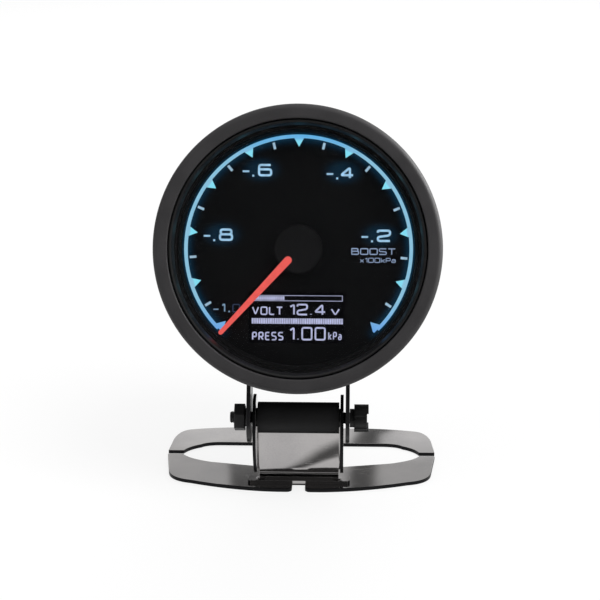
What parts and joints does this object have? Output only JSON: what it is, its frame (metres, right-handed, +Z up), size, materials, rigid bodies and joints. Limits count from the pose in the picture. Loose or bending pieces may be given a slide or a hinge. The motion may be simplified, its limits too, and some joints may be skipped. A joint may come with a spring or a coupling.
{
  "type": "boost gauge",
  "caption": "Round dial gauge with a lit scale, red needle and small display, held in a moulded cup that tilts on a stamped four-armed metal stand.",
  "frame": {"origin": "underside of the base plate, midway between its two end slits", "axes": "+X to the viewer's right along the tilt axis, +Y to the rear, +Z up; the dial faces -Y, leaning back 14.5 degrees"},
  "size_m": [0.0708, 0.0603, 0.0982],
  "materials": {
    "base_sheet": "dark mirror plating",
    "bracket_sheet": "satin black",
    "rivet_steel": "dark plated",
    "black_steel": "black oxide",
    "bright_steel": "satin",
    "black_rubber": "matte",
    "cup_plastic": "fine moulded grain",
    "black_plastic": "matte",
    "case_plastic": "satin",
    "lens_glass": "clear polished",
    "dial_black": "matte print",
    "scale_light": "lit light guide",
    "tick_light": "lit print",
    "needle_red": "lit red",
    "display_black": "display glass",
    "white_plastic": "reflector white",
    "board_green": "solder mask",
    "lamp_cream": "matte",
    "chip_black": "matte",
    "socket_white": "natural nylon"
  },
  "bodies": {
    "stand": {"base_plate": "base_sheet", "foot_rivets": "rivet_steel", "hinge_bracket": "base_sheet", "spacer_tube": "black_steel", "rubber_sleeve": "black_rubber", "nut_washer": "black_steel", "lock_nut": "black_steel"},
    "clamp": {"clamp_screw": "black_steel", "clamp_knob": "black_plastic", "knob_washer": "black_steel"},
    "head": {"cup_bracket": "bracket_sheet", "bracket_screws": "black_steel", "mounting_cup": "cup_plastic", "seat_gasket": "black_rubber", "grip_band": "black_rubber", "gauge_bezel": "case_plastic", "lens": "lens_glass", "lens_gasket": "black_rubber", "trim_ring": "black_plastic", "dial_plate": "dial_black", "scale_ring": "scale_light", "scale_ticks": "tick_light", "light_housing": "white_plastic", "display_glass": "display_black", "display_carrier": "white_plastic", "main_board": "board_green", "scale_lamps": "lamp_cream", "stepper_motor": "black_plastic", "control_chip": "chip_black", "driver_chips": "chip_black", "board_screws": "bright_steel", "rear_board": "board_green", "board_link": "chip_black", "power_socket": "socket_white", "sensor_socket": "socket_white", "gauge_can": "case_plastic", "rear_cover": "case_plastic", "cover_screws": "bright_steel"},
    "needle": {"needle_blade": "needle_red", "needle_cap": "black_plastic", "needle_shaft": "bright_steel"}
  },
  "joints": [
    {"name": "gauge_tilt", "type": "hinge", "parent": "stand", "child": "head", "pos_m": [0, -0.022, 0.019], "axis": [1, 0, 0], "range_deg": [-48, 90]},
    {"name": "needle_sweep", "type": "hinge", "parent": "head", "child": "needle", "pos_m": [0, -0.0308, 0.06486], "axis": [0, 0.9681, -0.2504], "range_deg": [0, 272.4]},
    {"name": "knob_turn", "type": "hinge", "parent": "stand", "child": "clamp", "pos_m": [0, -0.022, 0.019], "axis": [1, 0, 0], "continuous": true}
  ]
}
